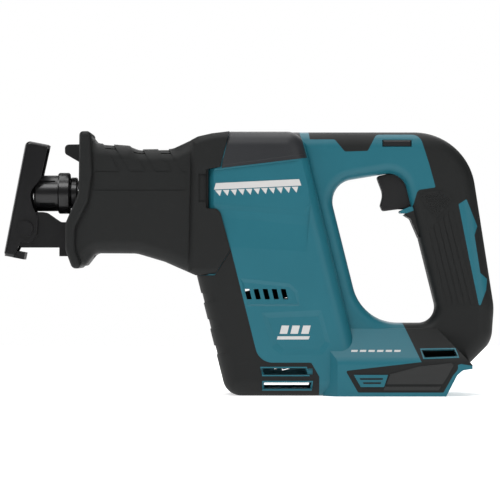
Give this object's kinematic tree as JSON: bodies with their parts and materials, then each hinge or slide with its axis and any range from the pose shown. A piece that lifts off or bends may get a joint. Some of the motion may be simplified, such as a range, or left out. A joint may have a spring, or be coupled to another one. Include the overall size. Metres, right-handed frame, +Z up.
{
  "type": "reciprocating saw",
  "caption": "Compact cordless reciprocating saw, bare tool, with a closed rear handle, rubber nose boot, pivoting shoe, keyless blade clamp and an upright motor driving a crank and slider.",
  "frame": {"origin": "centre of the plane that the tool stands on", "axes": "+X from the blade end to the handle's heel, +Y to the tool's right side, +Z up from the foot to the crest"},
  "size_m": [0.3674, 0.081, 0.1973],
  "materials": {
    "teal_shell": "moulded satin teal",
    "black_steel": "black oxide and oil",
    "black_rubber": "soft moulded rubber",
    "dark_plastic": "dark grey moulded plastic",
    "lens_clear": "clear lens",
    "board_green": "circuit board",
    "cast_alloy": "die cast",
    "bright_steel": "ground steel",
    "black_plastic": "black moulded plastic",
    "laminations": "stacked laminations",
    "copper": "enamelled winding wire",
    "insulator_white": "white moulding",
    "sintered_bronze": "oil filled bush",
    "seal_felt": "felt",
    "contact_brass": "bare contacts",
    "spring_steel": "spring wire",
    "magnets": "nickel plated"
  },
  "bodies": {
    "tool": {"housing_left": "teal_shell", "housing_right": "teal_shell", "housing_screws": "black_steel", "grip_left": "black_rubber", "grip_right": "black_rubber", "bumper_left": "black_rubber", "bumper_right": "black_rubber", "foot_pad_left": "black_rubber", "foot_pad_right": "black_rubber", "crest_cover": "dark_plastic", "front_boot": "black_rubber", "led_lens": "lens_clear", "led_board": "board_green", "gear_case": "cast_alloy", "gear_case_cover": "cast_alloy", "gear_case_screws": "black_steel", "shoe_clamp_bolt": "black_steel", "crank_bearings": "bright_steel", "motor_bearings": "bright_steel", "bearing_retainer": "black_steel", "fan_baffle": "black_plastic", "stator_core": "laminations", "stator_coils": "copper", "stator_insulators": "insulator_white", "sensor_board": "board_green", "slider_bush_front": "sintered_bronze", "slider_bush_rear": "sintered_bronze", "dust_seal": "seal_felt", "switch_body": "black_plastic", "controller": "black_plastic", "controller_potting": "black_plastic", "terminal_block": "black_plastic", "terminal_blades": "contact_brass", "motor_leads": "black_rubber", "switch_leads": "black_rubber"},
    "crank": {"crank_gear": "bright_steel", "crank_shaft": "bright_steel", "crank_pin": "bright_steel", "crank_roller": "bright_steel"},
    "slider": {"yoke": "bright_steel", "slider_rod": "bright_steel", "blade_holder": "black_steel", "clamp_pin": "bright_steel", "clamp_seat": "black_steel", "clamp_spring": "spring_steel"},
    "clamp": {"clamp_sleeve": "black_steel", "clamp_ring": "black_steel"},
    "rotor": {"rotor_shaft": "bright_steel", "rotor_core": "laminations", "rotor_magnets": "magnets", "fan": "black_plastic"},
    "shoe_guide": {"shoe_bar": "black_steel", "shoe_pin": "black_steel"},
    "shoe": {"shoe_plate": "black_steel"},
    "trigger": {"trigger": "black_plastic"},
    "lock_off": {"lock_off": "black_plastic"}
  },
  "joints": [
    {"name": "crank_turn", "type": "hinge", "parent": "tool", "child": "crank", "pos_m": [-0.004, 0, 0.1515], "axis": [0, 1, 0], "range_deg": [0, 180]},
    {"name": "slider_stroke", "type": "slide", "parent": "tool", "child": "slider", "axis": [1, 0, 0], "range_m": [0, 0.02]},
    {"name": "rotor_spin", "type": "hinge", "parent": "tool", "child": "rotor", "pos_m": [-0.004, 0, 0.1515], "axis": [0.2419, 0, -0.9703], "range_deg": [-704, 0]},
    {"name": "clamp_turn", "type": "hinge", "parent": "slider", "child": "clamp", "pos_m": [-0.15, 0, 0.1515], "axis": [1, 0, 0], "range_deg": [0, 60], "stiffness_Nm_per_rad": 0.05, "springref_deg": -20.05},
    {"name": "shoe_slide", "type": "slide", "parent": "tool", "child": "shoe_guide", "axis": [-1, 0, 0], "range_m": [0, 0.025]},
    {"name": "shoe_pivot", "type": "hinge", "parent": "shoe_guide", "child": "shoe", "pos_m": [-0.1679, 0, 0.1248], "axis": [0, -1, 0], "range_deg": [0, 35]},
    {"name": "trigger_pull", "type": "slide", "parent": "tool", "child": "trigger", "axis": [1, 0, 0], "range_m": [0, 0.006], "stiffness_N_per_m": 800, "springref_m": -0.003},
    {"name": "lock_off_push", "type": "slide", "parent": "tool", "child": "lock_off", "axis": [0, 1, 0], "range_m": [0, 0.004], "stiffness_N_per_m": 500, "springref_m": -0.002}
  ],
  "couplings": [
    {"joint": "slider_stroke", "follows": "crank_turn", "m_per_rad": 0.0063662},
    {"joint": "rotor_spin", "follows": "crank_turn", "ratio": -3.9091}
  ]
}
